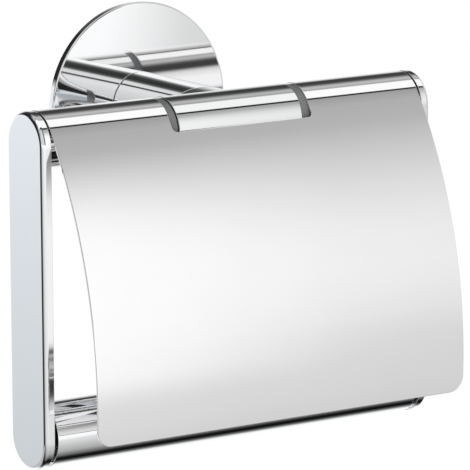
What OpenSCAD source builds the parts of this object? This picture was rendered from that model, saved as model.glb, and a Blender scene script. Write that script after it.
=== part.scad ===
// Wall-mounted toilet paper holder with a hinged lid and a sprung roll spindle.
// Frame: origin on the wall at the middle of the rosette, +X to the right along the bars,
// +Y into the wall, +Z up. Everything stands out from the wall towards -Y.

/* [Frame] */
// Distance from the wall to the axis of the top bar and of the spindle
axis_standoff = 48.8; // [46:0.2:60]
// Outside diameter of the top bar, and depth of the end plates
bar_d = 20; // [20:1:22]
// Overall width over the two end plates
overall_w = 140; // [130:1:160]
// Thickness of an end plate
plate_t = 3.2; // [3:0.1:4]
// Height of an end plate
plate_h = 107.5; // [105:0.5:120]
// Chamfer along the outer edge of an end plate
plate_chamfer = 0.5; // [0.3:0.1:0.8]

/* [Wall fixing] */
// Diameter of the rosette
rosette_d = 63; // [60:1:70]
// Thickness of the rosette
rosette_t = 2.8; // [2.8:0.1:4]
// Chamfer on the front edge of the rosette
rosette_chamfer = 0.5; // [0.2:0.1:0.6]
// Outside diameter of the post
post_d = 19.9; // [18:0.1:19.9]
// Bore of the post, which fits over the boss of the wall bracket
post_bore_d = 15; // [14:0.1:15]
// Diameter of the wall bracket
bracket_d = 50; // [48:1:52]
// Distance between the two wall screw holes
screw_spacing = 34; // [32:1:36]
// Diameter of a wall screw hole
screw_hole_d = 4.5; // [4:0.1:5]

/* [Top bar] */
// Outside diameter of the hinge tube that the lid turns on
hinge_tube_d = 15.6; // [15:0.1:15.8]
// Length of the fixed sleeve in the middle of the top bar
sleeve_len = 44.2; // [40:0.2:46]
// Diameter of the bush flange seen between the sleeve and a lid tab
bush_flange_d = 19; // [18.6:0.1:19.4]
// Distance from the sleeve to a lid tab
tab_gap = 3; // [2.4:0.1:3.4]

/* [Lid] */
// Thickness of the lid sheet
sheet_t = 0.8; // [0.6:0.1:0.9]
// Radius of the lid's outer face
lid_radius = 142; // [130:1:170]
// Depth of the lid's foremost line below the axis of the top bar
lid_crest_drop = 74.4; // [70:0.2:84]
// Depth of the lid's lower edge below the axis of the top bar
lid_drop = 85.2; // [80:0.2:90]
// Side clearance between the lid and an end plate
lid_side_gap = 0.6; // [0.5:0.1:1.2]
// Corner radius at the bottom of the lid
lid_corner_r = 5; // [3:0.5:8]
// Angle, up from the front, round the top, where a rolled tab ends
curl_end_angle = 230; // [215:1:240]
// Height of the lower edge of the notch above the axis of the top bar
notch_z = 1.1; // [0.4:0.1:1.2]

/* [Spindle] */
// Outside diameter of the spindle tube
spindle_d = 19.6; // [18:0.1:20]
// Gap between the spindle tube and an end plate
spindle_end_gap = 1.3; // [1.3:0.1:2]
// Diameter of the two pins that carry the spindle
pin_d = 6; // [5:0.5:7]
// Depth that a pin reaches into its socket
pin_reach = 1.1; // [0.8:0.1:1.2]
// Diameter of the wire of the spindle spring
wire_d = 1.1; // [0.9:0.1:1.3]
// Number of coils of the spindle spring
spring_coils = 8; // [6:1:10]

/* [Node] */
// Node to draw, or all of them

/* [Hidden] */
$fn = 96;

chrome = [0.86, 0.87, 0.88];
satin_steel = [0.62, 0.63, 0.64];
dark_plastic = [0.30, 0.31, 0.31];
black_plastic = [0.08, 0.08, 0.09];

cut = 0.5;              // how far a cutting shape runs past the face it cuts
joint_gap = 0.02;       // brazed and pressed joints, on the radius
turn_gap = 0.05;        // turning and sliding fits, on the radius

bar_r = bar_d / 2;
half_w = overall_w / 2;
plate_inner_x = half_w - plate_t;
axis_drop = plate_h - bar_d;
tube_r = hinge_tube_d / 2;
tube_wall = 1.5;
plate_spigot_len = 7;

rosette_face_t = 0.8;
rosette_pocket_clearance = 0.5;
bracket_t = rosette_t - rosette_face_t - 0.2;
boss_r = post_bore_d / 2 - turn_gap;
boss_len = 18;
countersink_d = 7;
countersink_depth = (countersink_d - screw_hole_d) / 2;
groove_y = 9;
groove_depth = 2;
groove_slope = 1.1;       // half width over depth
post_bore_len = 20;
grub_d = 4;
grub_point_len = 1.25;
grub_recess = 0.1;
hex_key = 2;
hex_depth = 1.6;
spigot_d = 10;
spigot_end = 8.4;

sleeve_bore_r = tube_r + joint_gap;
tab_inner_x = sleeve_len / 2 + tab_gap;
lid_half_w = plate_inner_x - lid_side_gap;
lid_axis_y = sqrt(pow(lid_radius - bar_r, 2) - pow(lid_crest_drop, 2));
tangent_angle = atan2(lid_crest_drop, lid_axis_y);
notch_corner_r = 1.5;

bush_r = bar_r - sheet_t - joint_gap;
bush_bore_r = tube_r + turn_gap;
bush_gap = 0.3;
bush_flange_t = tab_gap - bush_gap - joint_gap;
bush_liner_len = 30;
bush_open_from = 235;
bush_open_to = 325;

spindle_r = spindle_d / 2;
spindle_half = plate_inner_x - spindle_end_gap;
spindle_wall = 1.5;
spindle_bore_r = spindle_r - spindle_wall;
plug_r = spindle_bore_r - joint_gap;
plug_len = 14;
plug_recess = 0.5;
socket_depth = pin_reach + 0.3;
pin_tip_x = plate_inner_x + pin_reach;
guide_len = 12;
plunger_r = 4;
plunger_head_r = 6.8;
plunger_head_t = 2;
spring_r = 5.4;
spring_len = 22;
seat_t = 4;
spring_steps = 20;
wire_sides = 8;

// Cylinder along X from x0 to x1 about a line in the YZ plane.
module rod_x(r, x0, x1) {
    translate([x0, 0, 0])
        rotate([0, 90, 0])
            cylinder(r = r, h = x1 - x0);
}

// Cylinder along Y from y0 to y1.
module rod_y(r, y0, y1) {
    translate([0, y0, 0])
        rotate([-90, 0, 0])
            cylinder(r = r, h = y1 - y0);
}

// Box between two corners.
module box(low, high) {
    translate(low)
        cube(high - low);
}

// Moves to the axis of the top bar.
module at_top_axis() {
    translate([0, -axis_standoff, 0])
        children();
}

// Moves to the axis of the spindle.
module at_spindle_axis() {
    translate([0, -axis_standoff, -axis_drop])
        children();
}

// Sector about the X axis, under half a turn wide, from one angle to another.
// Angles start at the front (-Y) and rise over the top.
module sector_x(from, to, reach, x0, x1) {
    middle = (from + to) / 2;
    far = reach / cos((to - from) / 4);
    translate([x0, 0, 0])
        rotate([90, 0, 90])
            linear_extrude(height = x1 - x0)
                polygon([
                    [0, 0],
                    [-reach * cos(from), reach * sin(from)],
                    [-far * cos((from + middle) / 2), far * sin((from + middle) / 2)],
                    [-far * cos((middle + to) / 2), far * sin((middle + to) / 2)],
                    [-reach * cos(to), reach * sin(to)]
                ]);
}

// Disc with a boss, screwed to the wall inside the rosette.
module wall_bracket() {
    color(satin_steel)
        difference() {
            union() {
                rod_y(bracket_d / 2, -bracket_t, 0);
                rod_y(boss_r, -boss_len, -bracket_t / 2);
            }
            for (side = [-1, 1])
                translate([side * screw_spacing / 2, 0, 0])
                    rotate([90, 0, 0]) {
                        translate([0, 0, -cut])
                            cylinder(d = screw_hole_d, h = bracket_t + 2 * cut);
                        translate([0, 0, bracket_t - countersink_depth])
                            cylinder(d1 = screw_hole_d, d2 = countersink_d + 2 * cut, h = countersink_depth + cut);
                    }
            // conical groove that the grub screw draws against
            translate([0, -groove_y, 0])
                rotate([90, 0, 0])
                    rotate_extrude()
                        polygon([
                            [boss_r - groove_depth, 0],
                            [boss_r + cut, (groove_depth + cut) * groove_slope],
                            [boss_r + cut, -(groove_depth + cut) * groove_slope]
                        ]);
        }
}

// Thin cover disc with a pocket for the wall bracket.
module rosette() {
    pocket_r = bracket_d / 2 + rosette_pocket_clearance;
    outer_r = rosette_d / 2;
    color(chrome)
        rotate([90, 0, 0])
            rotate_extrude()
                polygon([
                    [post_bore_d / 2, rosette_t - rosette_face_t],
                    [pocket_r, rosette_t - rosette_face_t],
                    [pocket_r, 0],
                    [outer_r, 0],
                    [outer_r, rosette_t - rosette_chamfer],
                    [outer_r - rosette_chamfer, rosette_t],
                    [post_bore_d / 2, rosette_t]
                ]);
}

// Round post, saddled to the sleeve at the front, with a spigot brazed into it.
module post() {
    color(chrome)
        difference() {
            union() {
                difference() {
                    rod_y(post_d / 2, -axis_standoff, -rosette_t);
                    at_top_axis()
                        rod_x(bar_r + joint_gap, -post_d, post_d);
                }
                rod_y(spigot_d / 2 - joint_gap, -axis_standoff + spigot_end, -axis_standoff + bar_r + 2);
            }
            rod_y(post_bore_d / 2, -post_bore_len, -rosette_t + cut);
            translate([0, -groove_y, -post_d / 2 - cut])
                cylinder(d = grub_d + 2 * joint_gap, h = post_d / 2);
        }
}

// Headless cone-point screw with a hexagon socket, from below.
module post_grub_screw() {
    shank_len = post_d / 2 - grub_recess - boss_r;
    color(satin_steel)
        translate([0, -groove_y, -post_d / 2 + grub_recess])
            difference() {
                union() {
                    cylinder(d = grub_d, h = shank_len);
                    translate([0, 0, shank_len])
                        cylinder(d1 = grub_d, d2 = grub_d - 2 * grub_point_len, h = grub_point_len);
                }
                translate([0, 0, -cut])
                    cylinder(d = hex_key / cos(30), h = cut + hex_depth, $fn = 6);
            }
}

// Fixed middle section of the top bar.
module hinge_sleeve() {
    color(chrome)
        at_top_axis()
            difference() {
                rod_x(bar_r, -sleeve_len / 2, sleeve_len / 2);
                rod_x(sleeve_bore_r, -sleeve_len / 2 - cut, sleeve_len / 2 + cut);
                rod_y(spigot_d / 2, tube_r / 2, bar_r + cut);
            }
}

// Tube through the sleeve, brazed to both end plates, that the lid turns on.
module hinge_tube() {
    color(chrome)
        at_top_axis()
            difference() {
                rod_x(tube_r, -plate_inner_x, plate_inner_x);
                rod_x(tube_r - tube_wall, -plate_inner_x - cut, plate_inner_x + cut);
            }
}

// Pill-shaped plate: outer face at x = 0, growing to +X, with the spigot for the hinge tube.
module end_plate() {
    difference() {
        union() {
            rod_x(bar_r, plate_chamfer, plate_t);
            translate([0, 0, -axis_drop])
                rod_x(bar_r, plate_chamfer, plate_t);
            box([plate_chamfer, -bar_r, -axis_drop], [plate_t, bar_r, 0]);
            for (z = [0, -axis_drop])
                translate([0, 0, z])
                    rotate([0, 90, 0])
                        cylinder(r1 = bar_r - plate_chamfer, r2 = bar_r, h = plate_chamfer);
            translate([0, 0, -axis_drop])
                linear_extrude(height = axis_drop)
                    polygon([
                        [0, -bar_r + plate_chamfer],
                        [plate_chamfer, -bar_r],
                        [plate_chamfer, bar_r],
                        [0, bar_r - plate_chamfer]
                    ]);
            rod_x(tube_r - tube_wall - joint_gap, plate_t - cut, plate_t + plate_spigot_len);
        }
        translate([0, 0, -axis_drop])
            rod_x(pin_d / 2 + turn_gap, plate_t - socket_depth, plate_t + cut);
    }
}

module left_end_plate() {
    color(chrome)
        at_top_axis()
            translate([-half_w, 0, 0])
                end_plate();
}

module right_end_plate() {
    color(chrome)
        at_top_axis()
            translate([half_w, 0, 0])
                mirror([1, 0, 0])
                    end_plate();
}

// Rolled tab of the lid on one side of the notch.
module lid_tab(x0, x1) {
    difference() {
        rod_x(bar_r, x0, x1);
        rod_x(bar_r - sheet_t, x0 - cut, x1 + cut);
        sector_x(curl_end_angle, 360 + tangent_angle - 1, 3 * bar_r, x0 - cut, x1 + cut);
    }
}

// Curved sheet below the tabs, before the notch and the corners are cut.
module lid_sheet() {
    difference() {
        translate([0, lid_axis_y, -lid_crest_drop])
            difference() {
                rod_x(lid_radius, -lid_half_w, lid_half_w);
                rod_x(lid_radius - sheet_t, -lid_half_w - cut, lid_half_w + cut);
                // everything above the line where the tabs start
                rotate([-tangent_angle, 0, 0])
                    box([-overall_w, -2 * lid_radius, 0], [overall_w, 2 * lid_radius, 2 * lid_radius]);
            }
        box([-overall_w, -lid_radius, -3 * lid_radius], [overall_w, 3 * lid_radius, -lid_drop]);
        box([-overall_w, 0, -2 * lid_radius], [overall_w, 3 * lid_radius, 2 * lid_radius]);
    }
}

// What is cut away at one bottom corner.
module lid_corner_cut() {
    difference() {
        box([lid_half_w - lid_corner_r, -lid_radius, -lid_drop - cut],
            [lid_half_w + cut, 0, -lid_drop + lid_corner_r]);
        translate([lid_half_w - lid_corner_r, 0, -lid_drop + lid_corner_r])
            rod_y(lid_corner_r, -lid_radius - cut, cut);
    }
}

// Rounded-corner opening around the sleeve.
module lid_notch() {
    difference() {
        box([-tab_inner_x, -2 * bar_r, notch_z], [tab_inner_x, 0, 2 * bar_r]);
        for (side = [-1, 1])
            difference() {
                translate([side * (tab_inner_x - notch_corner_r / 2), 0, 0])
                    box([-notch_corner_r / 2, -3 * bar_r, notch_z - cut],
                        [notch_corner_r / 2, cut, notch_z + notch_corner_r]);
                translate([side * (tab_inner_x - notch_corner_r), 0, notch_z + notch_corner_r])
                    rod_y(notch_corner_r, -3 * bar_r - cut, 2 * cut);
            }
    }
}

module lid() {
    color(chrome)
        at_top_axis()
            difference() {
                union() {
                    lid_sheet();
                    lid_tab(-lid_half_w, -tab_inner_x);
                    lid_tab(tab_inner_x, lid_half_w);
                }
                lid_notch();
                lid_corner_cut();
                mirror([1, 0, 0])
                    lid_corner_cut();
            }
}

// Open ring that clips on the hinge tube: a flange beside the sleeve and a liner inside the tab.
module hinge_bush() {
    flange_x = sleeve_len / 2 + bush_gap;
    difference() {
        union() {
            rod_x(bush_flange_d / 2, flange_x, flange_x + bush_flange_t);
            rod_x(bush_r, flange_x + bush_flange_t - joint_gap, tab_inner_x + bush_liner_len);
        }
        rod_x(bush_bore_r, 0, half_w);
        sector_x(bush_open_from, bush_open_to, 3 * bar_r, 0, half_w);
    }
}

module right_hinge_bush() {
    color(dark_plastic)
        at_top_axis()
            hinge_bush();
}

module left_hinge_bush() {
    color(dark_plastic)
        at_top_axis()
            mirror([1, 0, 0])
                hinge_bush();
}

// Tube that the roll turns on.
module spindle_tube() {
    color(chrome)
        at_spindle_axis()
            difference() {
                rod_x(spindle_r, -spindle_half, spindle_half);
                rod_x(spindle_bore_r, -spindle_half - cut, spindle_half + cut);
            }
}

// Left plug, pressed into the tube, with its pin in the left plate's socket.
module spindle_fixed_plug() {
    color(black_plastic)
        at_spindle_axis() {
            rod_x(plug_r, -spindle_half + plug_recess, -spindle_half + plug_len);
            rod_x(pin_d / 2, -pin_tip_x, -spindle_half + plug_len / 2);
        }
}

// Sprung pin at the right end, with a head that keeps it in the guide bush.
module spindle_plunger() {
    head_x = spindle_half - guide_len - plug_recess;
    color(black_plastic)
        at_spindle_axis() {
            rod_x(pin_d / 2, head_x, pin_tip_x);
            rod_x(plunger_r, head_x - plunger_head_t / 2, spindle_half - plug_recess);
            rod_x(plunger_head_r, head_x - plunger_head_t, head_x);
        }
}

// Right plug, pressed into the tube, that the plunger slides in.
module spindle_guide_bush() {
    color(black_plastic)
        at_spindle_axis()
            difference() {
                rod_x(plug_r, spindle_half - guide_len - plug_recess, spindle_half - plug_recess);
                rod_x(plunger_r + turn_gap, spindle_half - guide_len - 1, spindle_half + cut);
            }
}

// Plug inside the tube behind the spring.
module spindle_spring_seat() {
    seat_x = spindle_half - guide_len - plug_recess - plunger_head_t - spring_len;
    color(black_plastic)
        at_spindle_axis()
            rod_x(plug_r, seat_x - seat_t, seat_x);
}

// Round wire wound about the X axis between the seat and the plunger's head.
module spindle_spring() {
    end_x = spindle_half - guide_len - plug_recess - plunger_head_t;
    turns = spring_coils;
    steps = turns * spring_steps;
    pitch = (spring_len - wire_d - 0.2) / turns;
    start_x = end_x - spring_len + wire_d / 2 + 0.1;
    points = [
        for (i = [0 : steps])
            for (j = [0 : wire_sides - 1])
                let (
                    turn = 360 * i / spring_steps,
                    around = 360 * j / wire_sides,
                    r = spring_r + wire_d / 2 * cos(around)
                )
                [start_x + pitch * i / spring_steps + wire_d / 2 * sin(around), r * cos(turn), r * sin(turn)]
    ];
    sides = [
        for (i = [0 : steps - 1])
            for (j = [0 : wire_sides - 1])
                let (k = (j + 1) % wire_sides)
                [i * wire_sides + j, i * wire_sides + k, (i + 1) * wire_sides + k, (i + 1) * wire_sides + j]
    ];
    first = [for (j = [wire_sides - 1 : -1 : 0]) j];
    last = [for (j = [0 : wire_sides - 1]) steps * wire_sides + j];
    color(satin_steel)
        at_spindle_axis()
            polyhedron(points = points, faces = concat(sides, [first, last]));
}

wall_bracket();
rosette();
post();
post_grub_screw();
hinge_sleeve();
hinge_tube();
left_end_plate();
right_end_plate();
lid();
left_hinge_bush();
right_hinge_bush();
spindle_tube();
spindle_fixed_plug();
spindle_plunger();
spindle_guide_bush();
spindle_spring();
spindle_spring_seat();
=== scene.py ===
"""Looks of the wall-mounted toilet paper holder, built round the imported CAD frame.

Everything is in metres, in the frame of the CAD: the origin is on the wall at the middle of the
rosette, +X runs along the bars, +Y points into the wall and +Z is up.
"""

import math

import bmesh
import bpy
from mathutils import Euler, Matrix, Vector


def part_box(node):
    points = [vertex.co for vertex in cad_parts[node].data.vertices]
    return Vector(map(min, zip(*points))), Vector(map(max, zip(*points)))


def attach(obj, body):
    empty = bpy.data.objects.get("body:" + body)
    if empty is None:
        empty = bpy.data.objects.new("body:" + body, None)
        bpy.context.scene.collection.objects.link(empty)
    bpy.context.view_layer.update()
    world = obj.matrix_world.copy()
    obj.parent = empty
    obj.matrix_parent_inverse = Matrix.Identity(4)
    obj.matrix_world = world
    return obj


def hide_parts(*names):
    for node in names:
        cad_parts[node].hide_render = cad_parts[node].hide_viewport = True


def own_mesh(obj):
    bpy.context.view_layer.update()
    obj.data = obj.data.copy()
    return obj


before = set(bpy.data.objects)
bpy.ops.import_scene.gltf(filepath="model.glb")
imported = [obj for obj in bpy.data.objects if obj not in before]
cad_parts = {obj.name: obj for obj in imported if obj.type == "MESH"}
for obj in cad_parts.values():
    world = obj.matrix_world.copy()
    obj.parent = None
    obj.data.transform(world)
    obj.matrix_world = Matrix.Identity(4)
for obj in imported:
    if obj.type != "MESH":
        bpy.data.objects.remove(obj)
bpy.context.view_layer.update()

MM = 0.001


# ---------------------------------------------------------------- sizes

def middle(node):
    low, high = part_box(node)
    return (low + high) / 2


def half_size(node):
    low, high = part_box(node)
    return (high - low) / 2


# Taken from the boxes of the CAD's nodes
ROSETTE_R = half_size("rosette").x
ROSETTE_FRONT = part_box("rosette")[0].y
POST_R = half_size("post").x
BAR_AXIS_Y = middle("hinge_sleeve").y
BAR_R = half_size("hinge_sleeve").z
LID_HALF_W = half_size("lid").x
LID_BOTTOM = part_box("lid")[0].z

POCKET_R = 25.5 * MM
POCKET_FLOOR = ROSETTE_FRONT + 0.8 * MM
POST_BORE_R = 7.5 * MM
POST_BORE_END = -20 * MM
SADDLE_R = BAR_R + 0.02 * MM
PLATE_T = 3.2 * MM
SOCKET_R = 3.05 * MM
SOCKET_DEPTH = 1.4 * MM
SHEET_T = 0.8 * MM
LID_R = 142 * MM
CREST_DROP = 74.4 * MM
CURL_END = math.radians(230)
LID_CORNER_R = 5 * MM
NOTCH_Z = 1.1 * MM
NOTCH_CORNER_R = 1.5 * MM
NOTCH_GAP = 3 * MM
NOTCH_HALF_W = half_size("hinge_sleeve").x + NOTCH_GAP
SPRING_WIRE_R = 0.55 * MM
SPRING_COILS = 8

# The looks' own. The CAD's walls are 2.18 and 1.5 mm, its plates and disc have chamfers of 0.5 mm,
# its disc is flat and its post touches the disc.
SLEEVE_WALL = 2.1 * MM
TUBE_WALL = 1.4 * MM
DOME_R = 1100 * MM
ROSETTE_RIM = 0.6 * MM
ROSETTE_BACK_EDGE = 0.2 * MM
POST_JOINT = 0.25 * MM
POST_EDGE = 0.15 * MM
BORE_END_EDGE = 0.3 * MM
PLATE_RIM = 1.4 * MM
PLATE_INNER_EDGE = 0.2 * MM
SHEET_EDGE = 0.2 * MM
TAB_CORNER_R = 0.5 * MM


# ---------------------------------------------------------------- camera

def add_camera(target, distance, azimuth, elevation, roll, lens):
    a = math.radians(azimuth)
    e = math.radians(elevation)
    back = Vector((math.sin(a) * math.cos(e), -math.cos(a) * math.cos(e), math.sin(e)))
    data = bpy.data.cameras.new("camera")
    data.sensor_width = 36.0
    data.lens = lens
    data.clip_start = 0.05
    data.clip_end = 60.0
    camera = bpy.data.objects.new("camera", data)
    camera.rotation_mode = "QUATERNION"
    aim = (-back).to_track_quat("-Z", "Y")
    camera.rotation_quaternion = aim @ Euler((0.0, 0.0, math.radians(roll))).to_quaternion()
    camera.location = target + back * distance
    bpy.context.scene.collection.objects.link(camera)
    bpy.context.scene.camera = camera


add_camera(
    target=Vector((0.0039, -0.0491, -0.0347)),
    distance=1.3138,
    azimuth=-33.99,
    elevation=10.81,
    roll=-0.27,
    lens=332.3,
)


# ---------------------------------------------------------------- node helpers

def new_material(name):
    """A node material that holds one shader. Returns the material, its tree and the shader."""
    material = bpy.data.materials.new(name)
    material.use_nodes = True
    tree = material.node_tree
    tree.nodes.clear()
    output = tree.nodes.new("ShaderNodeOutputMaterial")
    shader = tree.nodes.new("ShaderNodeBsdfPrincipled")
    tree.links.new(shader.outputs[0], output.inputs[0])
    return material, tree, shader


def connect(tree, value, socket):
    """Links value to the socket if value is a socket, and sets it there if not."""
    if isinstance(value, bpy.types.NodeSocket):
        tree.links.new(value, socket)
    else:
        socket.default_value = value


def math_node(tree, operation, first, second):
    """Output of a Math node; first and second are sockets or numbers."""
    node = tree.nodes.new("ShaderNodeMath")
    node.operation = operation
    connect(tree, first, node.inputs[0])
    connect(tree, second, node.inputs[1])
    return node.outputs[0]


def product(tree, *factors):
    """The factors, sockets or numbers, multiplied together."""
    result = factors[0]
    for factor in factors[1:]:
        result = math_node(tree, "MULTIPLY", result, factor)
    return result


def map_range(tree, value, from_min, from_max, to_min=0.0, to_max=1.0, smooth=False):
    node = tree.nodes.new("ShaderNodeMapRange")
    node.interpolation_type = "SMOOTHSTEP" if smooth else "LINEAR"
    tree.links.new(value, node.inputs["Value"])
    node.inputs["From Min"].default_value = from_min
    node.inputs["From Max"].default_value = from_max
    node.inputs["To Min"].default_value = to_min
    node.inputs["To Max"].default_value = to_max
    return node.outputs["Result"]


def fade(tree, value, none_at, full_at):
    """0 where value is none_at, 1 where it is full_at, and a soft step between."""
    return map_range(tree, value, none_at, full_at, smooth=True)


def object_coordinates(tree, scale=(1.0, 1.0, 1.0)):
    """Object coordinates, stretched by scale."""
    coordinates = tree.nodes.new("ShaderNodeTexCoord")
    mapping = tree.nodes.new("ShaderNodeMapping")
    mapping.inputs["Scale"].default_value = scale
    tree.links.new(coordinates.outputs["Object"], mapping.inputs["Vector"])
    return mapping.outputs["Vector"]


def noise(tree, vector, scale, detail, roughness):
    node = tree.nodes.new("ShaderNodeTexNoise")
    node.inputs["Scale"].default_value = scale
    node.inputs["Detail"].default_value = detail
    node.inputs["Roughness"].default_value = roughness
    tree.links.new(vector, node.inputs["Vector"])
    return node.outputs["Fac"]


def mix_colours(tree, factor, first, second):
    """Colour output of a Mix node; first and second are sockets or (r, g, b, 1)."""
    node = tree.nodes.new("ShaderNodeMix")
    node.data_type = "RGBA"
    tree.links.new(factor, node.inputs["Factor"])
    connect(tree, first, node.inputs["A"])
    connect(tree, second, node.inputs["B"])
    return node.outputs["Result"]


def colour(red, green, blue):
    return (red, green, blue, 1.0)


def grey(level):
    return colour(level, level, level)


def bump(tree, shader, height, distance, strength):
    node = tree.nodes.new("ShaderNodeBump")
    node.inputs["Strength"].default_value = strength
    node.inputs["Distance"].default_value = distance
    tree.links.new(height, node.inputs["Height"])
    tree.links.new(node.outputs["Normal"], shader.inputs["Normal"])


# ---------------------------------------------------------------- materials

MIRROR_ROUGHNESS = 0.035


def chrome(name, bright, dull, smudge):
    """Chrome plate: a clean mirror with faint wiping marks, up to smudge rougher, and a slight ripple."""
    material, tree, shader = new_material(name)
    shader.inputs["Metallic"].default_value = 1.0
    even = object_coordinates(tree)
    cloud = noise(tree, even, 38.0, 4.0, 0.55)
    wiped = noise(tree, object_coordinates(tree, (0.25, 1.0, 1.6)), 900.0, 2.0, 0.6)
    marks = product(tree, map_range(tree, cloud, 0.45, 0.8), wiped)
    roughness = map_range(tree, marks, 0.0, 1.0, MIRROR_ROUGHNESS, MIRROR_ROUGHNESS + smudge)
    tree.links.new(roughness, shader.inputs["Roughness"])
    tint = mix_colours(tree, map_range(tree, cloud, 0.3, 0.75), bright, dull)
    tree.links.new(tint, shader.inputs["Base Color"])
    bump(tree, shader, noise(tree, even, 120.0, 1.0, 0.4), distance=0.0012 * MM, strength=1.0)
    return material


def satin_steel(name):
    """Plain turned or zinc-plated steel of the hidden fixings."""
    material, tree, shader = new_material(name)
    shader.inputs["Metallic"].default_value = 1.0
    grain = noise(tree, object_coordinates(tree, (1.0, 9.0, 1.0)), 1600.0, 3.0, 0.65)
    patches = noise(tree, object_coordinates(tree), 90.0, 3.0, 0.5)
    tint = mix_colours(tree, patches, colour(0.50, 0.51, 0.52), colour(0.64, 0.64, 0.63))
    tree.links.new(tint, shader.inputs["Base Color"])
    tree.links.new(map_range(tree, grain, 0.3, 0.7, 0.26, 0.42), shader.inputs["Roughness"])
    bump(tree, shader, grain, distance=0.01 * MM, strength=0.6)
    return material


def moulded_plastic(name, dark, light, gloss):
    """Moulded plastic with a fine spark-eroded grain; gloss is its lowest roughness."""
    material, tree, shader = new_material(name)
    even = object_coordinates(tree)
    grain = noise(tree, even, 5200.0, 2.0, 0.6)
    blotch = noise(tree, even, 320.0, 3.0, 0.5)
    tree.links.new(mix_colours(tree, blotch, dark, light), shader.inputs["Base Color"])
    tree.links.new(map_range(tree, grain, 0.3, 0.7, gloss, gloss + 0.16), shader.inputs["Roughness"])
    bump(tree, shader, grain, distance=0.02 * MM, strength=0.7)
    return material


CHROME = chrome(
    "chrome", bright=colour(0.925, 0.93, 0.935), dull=colour(0.905, 0.912, 0.92), smudge=0.05)
CHROME_SLEEVE = chrome(
    "chrome_sleeve", bright=colour(0.86, 0.868, 0.866), dull=colour(0.83, 0.84, 0.838), smudge=0.07)
CHROME_LID = chrome(
    "chrome_lid", bright=colour(0.945, 0.932, 0.938), dull=colour(0.928, 0.916, 0.922), smudge=0.07)
STEEL = satin_steel("satin_steel")
BUSH_PLASTIC = moulded_plastic(
    "bush_plastic", dark=colour(0.19, 0.195, 0.198), light=colour(0.29, 0.295, 0.298), gloss=0.45)
BLACK_PLASTIC = moulded_plastic(
    "black_plastic", dark=colour(0.012, 0.012, 0.013), light=colour(0.022, 0.022, 0.024), gloss=0.38)


# ---------------------------------------------------------------- mesh helpers

def facing_out(points, normals, face):
    """The face, turned round if its winding disagrees with the normals of its own corners."""
    winding = Vector((0.0, 0.0, 0.0))
    for here, there in zip(face, face[1:] + face[:1]):
        winding += points[here].cross(points[there])
    meant = sum((normals[i] for i in face), Vector((0.0, 0.0, 0.0)))
    return face if winding.dot(meant) >= 0 else face[::-1]


def finish_mesh(name, points, normals, faces, material, body, *nodes):
    """A smooth mesh with its own exact normals, riding on a body in place of CAD nodes."""
    mesh = bpy.data.meshes.new(name)
    faces = [facing_out(points, normals, tuple(face)) for face in faces]
    mesh.from_pydata([tuple(p) for p in points], [], faces)
    mesh.validate()
    mesh.polygons.foreach_set("use_smooth", [True] * len(mesh.polygons))
    mesh.normals_split_custom_set_from_vertices([tuple(n) for n in normals])
    mesh.materials.append(material)
    piece = bpy.data.objects.new(name, mesh)
    bpy.context.scene.collection.objects.link(piece)
    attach(piece, body)
    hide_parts(*nodes)
    return piece


def quarter(steps):
    """Sine and cosine of angles from 0 to 90 degrees, in steps equal steps."""
    angles = [math.pi / 2 * k / steps for k in range(steps + 1)]
    return [(math.sin(angle), math.cos(angle)) for angle in angles]


def band(first, second, count, turned=False):
    """Faces between two closed rows of count points, whose numbers begin at first and second.

    Every face begins at its own point of the first row. turned winds it the other way round."""
    faces = []
    for i in range(count):
        j = (i + 1) % count
        if turned:
            faces.append((first + i, first + j, second + j, second + i))
        else:
            faces.append((first + i, second + i, second + j, first + j))
    return faces


def rounded(corners, steps):
    """Closed outline with rounded corners, as points and outward normals.

    corners are (x, y, radius), counterclockwise, and every radius is above 0. A right angle is
    rounded in steps steps."""
    outline = []
    count = len(corners)
    for i, (x, y, radius) in enumerate(corners):
        corner = Vector((x, y))
        before = (Vector(corners[i - 1][:2]) - corner).normalized()
        after = (Vector(corners[(i + 1) % count][:2]) - corner).normalized()
        half = before.angle(after) / 2
        centre = corner + (before + after).normalized() * radius / math.sin(half)
        turn = 1.0 if before.x * after.y - before.y * after.x < 0 else -1.0
        start = corner + before * radius / math.tan(half) - centre
        sweep = turn * (math.pi - 2 * half)
        pieces = max(2, math.ceil(steps * abs(sweep) / (math.pi / 2)))
        for k in range(pieces + 1):
            angle = sweep * k / pieces
            c, s = math.cos(angle), math.sin(angle)
            arm = Vector((c * start.x - s * start.y, s * start.x + c * start.y))
            outline.append((centre + arm, arm.normalized() * turn))
    return outline


def lathe(outline, place, count):
    """Turns a closed outline of (along, radius) about an axis. Returns points, normals, faces.

    place(along, radius, angle) gives the point, and the same call on a normal gives its direction."""
    points, normals, faces = [], [], []
    rows = len(outline)
    for k in range(count):
        angle = 2 * math.pi * k / count
        for point, normal in outline:
            points.append(place(point.x, point.y, angle))
            normals.append(place(normal.x, normal.y, angle))
        faces += band(k * rows, (k + 1) % count * rows, rows)
    return points, normals, faces


def about_x(along, radius, angle):
    return Vector((along, -radius * math.cos(angle), radius * math.sin(angle)))


def about_y(along, radius, angle):
    return Vector((radius * math.cos(angle), along, radius * math.sin(angle)))


# ---------------------------------------------------------------- tubes and rosette

def add_tube(node, wall, fillet, body, material):
    """A plain tube in place of a CAD tube that runs along X."""
    low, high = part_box(node)
    radius = half_size(node).z
    centre = middle(node)
    outline = rounded([
        (low.x, radius - wall, fillet * 0.6),
        (high.x, radius - wall, fillet * 0.6),
        (high.x, radius, fillet),
        (low.x, radius, fillet),
    ], steps=5)
    points, normals, faces = lathe(outline, about_x, 192)
    points = [point + Vector((0.0, centre.y, centre.z)) for point in points]
    finish_mesh(node + "_shell", points, normals, faces, material, body, node)


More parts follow.
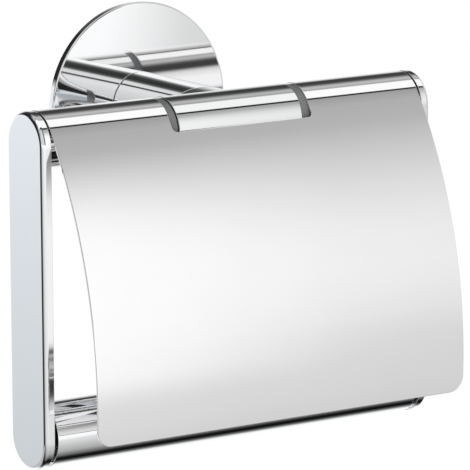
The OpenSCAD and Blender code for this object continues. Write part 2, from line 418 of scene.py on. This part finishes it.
add_tube("hinge_sleeve", wall=SLEEVE_WALL, fillet=0.2 * MM, body="frame", material=CHROME_SLEEVE)
add_tube("hinge_tube", wall=TUBE_WALL, fillet=0.15 * MM, body="frame", material=CHROME)
add_tube("spindle_tube", wall=TUBE_WALL, fillet=0.25 * MM, body="spindle", material=CHROME)


def dome(point, normal):
    """Bends a point of the rosette's flat front back towards the wall, more as the radius grows."""
    share = max(0.0, min(1.0, (POCKET_FLOOR - point.x) / (POCKET_FLOOR - ROSETTE_FRONT)))
    back = point.y ** 2 / (2 * DOME_R) * share
    tilt = math.asin(point.y / DOME_R) * max(0.0, -normal.x)
    c, s = math.cos(tilt), math.sin(tilt)
    turned = Vector((normal.x * c + normal.y * s, normal.y * c - normal.x * s))
    return Vector((point.x + back, point.y)), turned


def add_rosette():
    """The cover disc: a slightly domed face, a softly rounded rim and the pocket behind."""
    outline = rounded([
        (ROSETTE_FRONT, POST_BORE_R, 0.1 * MM),
        (POCKET_FLOOR, POST_BORE_R, 0.1 * MM),
        (POCKET_FLOOR, POCKET_R, 0.3 * MM),
        (0.0, POCKET_R, ROSETTE_BACK_EDGE),
        (0.0, ROSETTE_R, ROSETTE_BACK_EDGE),
        (ROSETTE_FRONT, ROSETTE_R, ROSETTE_RIM),
    ], steps=8)
    rim = ROSETTE_R - ROSETTE_RIM
    face_steps = 12
    for k in range(1, face_steps):
        radius = rim + (POST_BORE_R - rim) * k / face_steps
        outline.append((Vector((ROSETTE_FRONT, radius)), Vector((-1.0, 0.0))))
    domed = [dome(point, normal) for point, normal in outline]
    points, normals, faces = lathe(domed, about_y, 256)
    finish_mesh("rosette_disc", points, normals, faces, CHROME, "frame", "rosette")


add_rosette()


# ---------------------------------------------------------------- post

def saddle(radius, angle):
    """Depth of the sleeve's surface under the post's end, at radius and angle about the post's axis."""
    return BAR_AXIS_Y + math.sqrt(SADDLE_R ** 2 - (radius * math.sin(angle)) ** 2)


def level(y):
    return lambda radius, angle: y


def up_to_saddle(base, share):
    """Depth at a share of the way from base to the saddle."""
    return lambda radius, angle: base + (saddle(radius, angle) - base) * share


def post_rings():
    """Rings from the end of the bore, out over the foot and along the shaft, to the saddle's middle.

    Each is a radius, the depth as a function of radius and angle, and a normal (out, in). The
    rings that lie in the saddle have no normal, as they take the sleeve's."""
    foot = ROSETTE_FRONT - POST_JOINT
    rings = [
        (0.05 * MM, level(POST_BORE_END), (0, 1)),
        (POST_BORE_R - BORE_END_EDGE, level(POST_BORE_END), (0, 1)),
        (POST_BORE_R, level(POST_BORE_END + BORE_END_EDGE), (-1, 0)),
        (POST_BORE_R, level(foot - POST_EDGE), (-1, 0)),
        (POST_BORE_R + POST_EDGE, level(foot), (0, 1)),
    ]
    for s, c in quarter(6):
        rings.append((POST_R - POST_EDGE * (1 - s), level(foot - POST_EDGE * (1 - c)), (s, c)))
    steps = 24
    for k in range(1, steps + 1):
        rings.append((POST_R, up_to_saddle(foot - POST_EDGE, k / steps), (1, 0)))
    for share in (0.97, 0.7, 0.4, 0.01):
        rings.append((POST_R * share, saddle, None))
    return rings


def add_post():
    """Round post that ends in a saddle on the sleeve, with the bore that fits over the boss.

    The CAD post's screw hole and its spigot inside the sleeve are left out."""
    rings = post_rings()
    count = 192
    points, normals, faces = [], [], []
    for radius, depth, normal in rings:
        for i in range(count):
            angle = 2 * math.pi * i / count
            y = depth(radius, angle)
            points.append(about_y(y, radius, angle))
            if normal is None:
                arm = Vector((0.0, BAR_AXIS_Y - y, -radius * math.sin(angle)))
                normals.append(arm.normalized())
            else:
                out, inward = normal
                normals.append(about_y(inward, out, angle))
    last = (len(rings) - 1) * count
    for first in range(0, last, count):
        faces += band(first, first + count, count)
    faces.append(tuple(range(count)))
    faces.append(tuple(range(last, last + count)))
    finish_mesh("post_shaft", points, normals, faces, CHROME, "frame", "post")


add_post()


# ---------------------------------------------------------------- end plates

def stadium(centre_y, top_z, bottom_z, radius):
    """Outline of an end plate in the YZ plane, as points and outward normals."""
    outline = []
    steps = 64
    for centre_z, start in ((top_z - radius, 0.0), (bottom_z + radius, math.pi)):
        for k in range(steps + 1):
            angle = start + math.pi * k / steps
            arm = Vector((math.cos(angle), math.sin(angle)))
            outline.append((Vector((centre_y, centre_z)) + arm * radius, arm))
    return outline


def plate_rings():
    """Rings over a plate's edge: depth from the outer face, inset, and a normal (inward, sideways)."""
    rings = []
    for s, c in quarter(8):
        rings.append((PLATE_RIM * (1 - c), PLATE_RIM * (1 - s), -c, s))
    for s, c in quarter(8):
        rings.append((PLATE_T - PLATE_INNER_EDGE * (1 - s), PLATE_INNER_EDGE * (1 - c), s, c))
    return rings


def flat_ring(points, rim, hole):
    """Faces that fill the flat ring between two closed loops of point numbers."""
    flat = bmesh.new()
    vertices = {index: flat.verts.new(points[index]) for index in rim + hole}
    edges = []
    for loop in (rim, hole):
        for here, there in zip(loop, loop[1:] + loop[:1]):
            edges.append(flat.edges.new((vertices[here], vertices[there])))
    bmesh.ops.triangle_fill(flat, use_beauty=True, use_dissolve=False, edges=edges)
    numbers = {vertex: index for index, vertex in vertices.items()}
    faces = [tuple(numbers[vertex] for vertex in face.verts) for face in flat.faces]
    flat.free()
    return faces


def add_end_plate(node, side):
    """Pill-shaped plate with a rounded rim outside, a fine edge inside and the pin's socket.

    The CAD plate's spigot inside the hinge tube is left out."""
    low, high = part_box(node)
    radius = half_size(node).y
    outer_x = low.x if side < 0 else high.x
    outline = stadium(middle(node).y, high.z, low.z, radius)
    rings = plate_rings()
    count = len(outline)
    points, normals, faces = [], [], []

    def at(depth, y, z):
        return Vector((outer_x - side * depth, y, z))

    for depth, inset, inward, sideways in rings:
        for point, normal in outline:
            p = point - normal * inset
            points.append(at(depth, p.x, p.y))
            normals.append(Vector((-side * inward, normal.x * sideways, normal.y * sideways)))
    inner = (len(rings) - 1) * count
    for first in range(0, inner, count):
        faces += band(first, first + count, count, turned=True)
    faces.append(tuple(range(count)))

    socket_count = 48
    socket = len(points)
    pin_y, pin_z = middle(node).y, low.z + radius
    floor = PLATE_T - SOCKET_DEPTH
    for depth, inward, sideways in ((PLATE_T, 1, 0), (PLATE_T, 0, -1), (floor, 0, -1), (floor, 1, 0)):
        for i in range(socket_count):
            angle = 2 * math.pi * i / socket_count
            c, s = math.cos(angle), math.sin(angle)
            points.append(at(depth, pin_y + SOCKET_R * c, pin_z + SOCKET_R * s))
            normals.append(Vector((-side * inward, sideways * c, sideways * s)))
    faces += band(socket + socket_count, socket + 2 * socket_count, socket_count, turned=True)
    faces.append(tuple(range(socket + 3 * socket_count, socket + 4 * socket_count)))

    rim = list(range(inner, inner + count))
    hole = list(range(socket, socket + socket_count))
    faces += flat_ring(points, rim, hole)
    finish_mesh(node + "_shell", points, normals, faces, CHROME, "frame", node)


add_end_plate("left_end_plate", -1)
add_end_plate("right_end_plate", 1)


# ---------------------------------------------------------------- lid

LID_AXIS_Y = math.sqrt((LID_R - BAR_R) ** 2 - CREST_DROP ** 2)
TANGENT = math.atan2(CREST_DROP, LID_AXIS_Y)
CURL_R = BAR_R - SHEET_T / 2
SHEET_R = LID_R - SHEET_T / 2
CURL_LEN = (CURL_END - TANGENT) * CURL_R


def length_to(z):
    """Length along the flat lid, from the tabs' ends, of the line that comes to height z."""
    angle = math.asin((z + CREST_DROP) / LID_R)
    return CURL_LEN + (TANGENT - angle) * SHEET_R


def bend(along, across, offset):
    """Where a point of the flat lid comes to, and its angle up from the front, round its curve."""
    if along < CURL_LEN:
        angle = CURL_END - along / CURL_R
        radius, centre_y, centre_z = CURL_R + offset, BAR_AXIS_Y, 0.0
    else:
        angle = TANGENT - (along - CURL_LEN) / SHEET_R
        radius, centre_y, centre_z = SHEET_R + offset, BAR_AXIS_Y + LID_AXIS_Y, -CREST_DROP
    y = centre_y - radius * math.cos(angle)
    z = centre_z + radius * math.sin(angle)
    return Vector((across, y, z)), angle


def lid_outline():
    """The flat lid with its notch: x is the length from the tabs' ends and y is across."""
    end = length_to(LID_BOTTOM)
    notch = length_to(NOTCH_Z)
    return rounded([
        (0.0, -LID_HALF_W, TAB_CORNER_R),
        (end, -LID_HALF_W, LID_CORNER_R),
        (end, LID_HALF_W, LID_CORNER_R),
        (0.0, LID_HALF_W, TAB_CORNER_R),
        (0.0, NOTCH_HALF_W, TAB_CORNER_R),
        (notch, NOTCH_HALF_W, NOTCH_CORNER_R),
        (notch, -NOTCH_HALF_W, NOTCH_CORNER_R),
        (0.0, -NOTCH_HALF_W, TAB_CORNER_R),
    ], steps=10)


def flat_lid(outline):
    """The flat lid as a solid sheet with rounded edges, cut across so that it can bend."""
    half = SHEET_T / 2
    rings = [(SHEET_EDGE * (1 - s), half - SHEET_EDGE * (1 - c)) for s, c in quarter(4)]
    rings += [(SHEET_EDGE * (1 - c), -half + SHEET_EDGE * (1 - s)) for s, c in quarter(4)]
    flat = bmesh.new()
    rows = []
    for inset, height in rings:
        rows.append([flat.verts.new((*(point - normal * inset), height)) for point, normal in outline])
    count = len(outline)
    for upper, lower in zip(rows, rows[1:]):
        for i in range(count):
            j = (i + 1) % count
            flat.faces.new((upper[i], lower[i], lower[j], upper[j]))
    flat.faces.new(rows[0])
    flat.faces.new(list(reversed(rows[-1])))
    curl_steps, sheet_steps = 120, 90
    sheet_len = length_to(LID_BOTTOM) - CURL_LEN
    cuts = [CURL_LEN * k / curl_steps for k in range(1, curl_steps + 1)]
    cuts += [CURL_LEN + sheet_len * k / sheet_steps for k in range(1, sheet_steps)]
    for cut in cuts:
        geometry = flat.verts[:] + flat.edges[:] + flat.faces[:]
        bmesh.ops.bisect_plane(flat, geom=geometry, dist=1e-7, plane_co=(cut, 0, 0), plane_no=(1, 0, 0))
    flat.normal_update()
    flat.verts.index_update()
    return flat


def sheet_normal(vertex):
    """Normal of the flat lid at a vertex: flat on its two faces, round on its edge."""
    half = SHEET_T / 2
    height = vertex.co.z
    up = max(0.0, min(1.0, (abs(height) - half + SHEET_EDGE) / SHEET_EDGE))
    side = Vector((vertex.normal.x, vertex.normal.y, 0.0))
    if side.length < 1e-6 or up >= 0.999:
        return Vector((0.0, 0.0, math.copysign(1.0, height)))
    return side.normalized() * math.sqrt(1 - up * up) + Vector((0.0, 0.0, math.copysign(up, height)))


def add_lid():
    """The lid: one flat sheet, notched, then rolled round the bar and curved."""
    flat = flat_lid(lid_outline())
    points, normals = [], []
    for vertex in flat.verts:
        point, angle = bend(*vertex.co)
        outward = Vector((0.0, -math.cos(angle), math.sin(angle)))
        down = Vector((0.0, -math.sin(angle), -math.cos(angle)))
        normal = sheet_normal(vertex)
        points.append(point)
        normals.append(outward * normal.z + down * normal.x + Vector((normal.y, 0.0, 0.0)))
    faces = [tuple(vertex.index for vertex in face.verts) for face in flat.faces]
    flat.free()
    finish_mesh("lid_sheet", points, normals, faces, CHROME_LID, "lid", "lid")


add_lid()


# ---------------------------------------------------------------- spindle spring

def add_spring():
    """Round-wire compression spring between its seat, on the left, and the plunger."""
    low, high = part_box("spindle_spring")
    centre = middle("spindle_spring")
    coil_r = half_size("spindle_spring").z - SPRING_WIRE_R
    start, end = low.x + SPRING_WIRE_R, high.x - SPRING_WIRE_R
    steps, sides = SPRING_COILS * 40, 14
    points, normals, faces = [], [], []
    for i in range(steps + 1):
        turn = 2 * math.pi * SPRING_COILS * i / steps
        y = centre.y + coil_r * math.cos(turn)
        z = centre.z + coil_r * math.sin(turn)
        wire = Vector((start + (end - start) * i / steps, y, z))
        for j in range(sides):
            around = 2 * math.pi * j / sides
            out = math.cos(around)
            normal = Vector((math.sin(around), out * math.cos(turn), out * math.sin(turn)))
            points.append(wire + normal * SPRING_WIRE_R)
            normals.append(normal)
    last = steps * sides
    for first in range(0, last, sides):
        faces += band(first, first + sides, sides, turned=True)
    faces.append(tuple(range(sides)))
    faces.append(tuple(range(last, last + sides)))
    spring = finish_mesh("spring_coil", points, normals, faces, STEEL, "spindle", "spindle_spring")
    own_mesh(spring)


add_spring()


# ---------------------------------------------------------------- CAD nodes that stay

NODE_FINISH = {
    "wall_bracket": STEEL,
    "post_grub_screw": STEEL,
    "left_hinge_bush": BUSH_PLASTIC,
    "right_hinge_bush": BUSH_PLASTIC,
    "spindle_fixed_plug": BLACK_PLASTIC,
    "spindle_plunger": BLACK_PLASTIC,
    "spindle_guide_bush": BLACK_PLASTIC,
    "spindle_spring_seat": BLACK_PLASTIC,
}
for node, finish in NODE_FINISH.items():
    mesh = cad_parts[node].data
    mesh.materials.clear()
    mesh.materials.append(finish)


# ---------------------------------------------------------------- studio

# Brightness round the X axis, in degrees up or down from the front. Above: a grey front wall, a thin
# dark gap, a soft tent overhead, its dimmer rear panel and the dark room behind. Below: the front
# wall's foot, the dark gap at the table's edge and the pale table behind it.
STUDIO_ABOVE = [
    (0, 0.89), (5, 0.94), (12, 0.97), (19, 0.96), (24, 0.93), (28, 0.88), (33, 0.80), (37, 0.72),
    (42, 0.62), (46, 0.54), (50, 0.46), (55, 0.43), (57.8, 0.34), (58.4, 0.02), (63.4, 0.02),
    (65, 0.98), (93, 0.98), (96, 0.50), (100, 0.33), (103, 0.50), (111, 0.50), (117, 0.30),
    (123, 0.12), (129, 0.055), (144, 0.045), (150, 0.09), (155, 0.36), (162, 0.70), (170, 0.82),
    (180, 0.88),
]
STUDIO_BELOW = [
    (0, 0.90), (3, 0.85), (7, 0.80), (12, 0.76), (20, 0.71), (30, 0.60), (42, 0.50), (55, 0.40),
    (64, 0.24), (74, 0.12), (80, 0.02), (92, 0.0), (98, 0.04), (106, 0.16), (113, 0.48), (120, 0.86),
    (130, 0.97), (170, 0.97), (180, 0.90),
]
# Brightness of the upper front wall's left half, by x of the direction looked in: pale at the far
# left, then a dark slot, a bright strip and a dark board before the main wall begins.
FRONT_LEFT = [
    (-1.0, 0.70), (-0.60, 0.62), (-0.32, 0.80), (-0.23, 0.78), (-0.21, 0.04), (-0.17, 0.04),
    (-0.15, 0.80), (-0.04, 0.72), (0.02, 0.10), (0.12, 0.03), (0.28, 0.05), (0.36, 0.22), (0.42, 0.80),
]
REFLECTED_STRENGTH = 1.07


def studio_ramp(tree, value, stops, low, high):
    """Brightness for a value between low and high, by stops of value and brightness."""
    ramp = tree.nodes.new("ShaderNodeValToRGB")
    elements = ramp.color_ramp.elements
    while len(elements) > 1:
        elements.remove(elements[-1])
    for k, (at, brightness) in enumerate(stops):
        place = (at - low) / (high - low)
        element = elements[0] if k == 0 else elements.new(place)
        element.position = place
        element.color = grey(brightness)
    tree.links.new(map_range(tree, value, low, high), ramp.inputs[0])
    return ramp.outputs[0]


def front_wall(tree, studio, x, degrees_up):
    """The front wall: darker to the right of x 0.5, nearly white to the left of it, and in its upper
    left half the bands of FRONT_LEFT."""
    front = product(tree, fade(tree, degrees_up, -40, -5), fade(tree, degrees_up, 52, 25))
    fall = product(tree, front, map_range(tree, x, 0.50, 0.70, 0.0, 0.30))
    studio = mix_colours(tree, fall, studio, grey(0.0))
    lift = product(tree, front, fade(tree, degrees_up, -16, -6),
        map_range(tree, x, 0.57, 0.508, 0.0, 0.92))
    studio = mix_colours(tree, lift, studio, grey(1.01))
    upper = product(tree, fade(tree, degrees_up, 2, 8), map_range(tree, degrees_up, 58.5, 57.5))
    left_half = product(tree, upper, map_range(tree, x, 0.44, 0.40))
    return mix_colours(tree, left_half, studio, studio_ramp(tree, x, FRONT_LEFT, -1.0, 0.42))


def back_left(tree, studio, x, y, z, degrees_up):
    """A pale blue-grey panel low on the left behind, and a black card above it on the left half."""
    low_left = product(tree, fade(tree, x, -0.30, -0.45), fade(tree, z, 0.10, 0.0))
    where = product(tree, low_left, fade(tree, y, 0.0, 0.3))
    height = map_range(tree, z, -0.30, -0.14, 0.49, 0.87)
    panel = mix_colours(tree, height, grey(0.0), colour(0.95, 0.995, 1.04))
    studio = mix_colours(tree, where, studio, panel)
    card = product(tree, fade(tree, x, 0.0, -0.12),
        map_range(tree, degrees_up, 118, 128), map_range(tree, degrees_up, 173, 167))
    return mix_colours(tree, card, studio, colour(0.02, 0.02, 0.021))


def two_ends(tree, studio, x, y, z):
    """A grey panel at the right end, and a dark wing at the left end with a black card behind."""
    studio = mix_colours(tree, fade(tree, x, 0.74, 0.86), studio, colour(0.60, 0.61, 0.62))
    end = product(tree, fade(tree, x, -0.59, -0.66), fade(tree, z, -0.32, -0.24))
    wing = product(tree, end, fade(tree, y, -0.24, -0.04))
    studio = mix_colours(tree, wing, studio, colour(0.17, 0.173, 0.18))
    card = product(tree, end, fade(tree, y, 0.04, 0.18))
    return mix_colours(tree, card, studio, colour(0.02, 0.02, 0.022))


def background(tree, light, strength):
    node = tree.nodes.new("ShaderNodeBackground")
    connect(tree, light, node.inputs["Color"])
    node.inputs["Strength"].default_value = strength
    return node.outputs[0]


def add_world():
    """The studio, which only reflections and bounced light see. The camera sees an even pale grey."""
    world = bpy.data.worlds.new("studio")
    bpy.context.scene.world = world
    world.use_nodes = True
    tree = world.node_tree
    tree.nodes.clear()
    direction = tree.nodes.new("ShaderNodeTexCoord").outputs["Generated"]
    parts = tree.nodes.new("ShaderNodeSeparateXYZ")
    tree.links.new(direction, parts.inputs[0])
    x, y, z = parts.outputs
    forward = product(tree, y, -1.0)
    degrees_up = product(tree, math_node(tree, "ARCTAN2", z, forward), 180 / math.pi)
    above = studio_ramp(tree, degrees_up, STUDIO_ABOVE, 0.0, 180.0)
    below = studio_ramp(tree, product(tree, degrees_up, -1.0), STUDIO_BELOW, 0.0, 180.0)
    studio = mix_colours(tree, math_node(tree, "LESS_THAN", z, 0.0), above, below)
    studio = front_wall(tree, studio, x, degrees_up)
    studio = back_left(tree, studio, x, y, z, degrees_up)
    studio = two_ends(tree, studio, x, y, z)

    path = tree.nodes.new("ShaderNodeLightPath")
    both = tree.nodes.new("ShaderNodeMixShader")
    tree.links.new(path.outputs["Is Camera Ray"], both.inputs["Fac"])
    tree.links.new(background(tree, studio, REFLECTED_STRENGTH), both.inputs[1])
    tree.links.new(background(tree, grey(0.99), 1.0), both.inputs[2])
    output = tree.nodes.new("ShaderNodeOutputWorld")
    tree.links.new(both.outputs[0], output.inputs["Surface"])


add_world()


def add_floor():
    """A wide pale floor well below the holder. It lights itself, as a light table does."""
    radius, height, count = 14.0, -0.6, 64
    angles = [2 * math.pi * k / count for k in range(count)]
    ring = [(radius * math.cos(angle), radius * math.sin(angle), height) for angle in angles]
    mesh = bpy.data.meshes.new("floor")
    mesh.from_pydata(ring, [], [tuple(range(count))])
    floor = bpy.data.objects.new("floor", mesh)
    bpy.context.scene.collection.objects.link(floor)
    material, tree, shader = new_material("pale_floor")
    paper = noise(tree, object_coordinates(tree), 30.0, 2.0, 0.5)
    tree.links.new(mix_colours(tree, paper, grey(0.028), grey(0.032)), shader.inputs["Base Color"])
    shader.inputs["Roughness"].default_value = 0.9
    shader.inputs["Specular IOR Level"].default_value = 0.0
    shader.inputs["Emission Color"].default_value = grey(1.0)
    shader.inputs["Emission Strength"].default_value = 0.985
    mesh.materials.append(material)
    floor.visible_glossy = False


add_floor()

scene = bpy.context.scene
scene.view_settings.view_transform = "Standard"
scene.cycles.max_bounces = 16
scene.cycles.glossy_bounces = 12
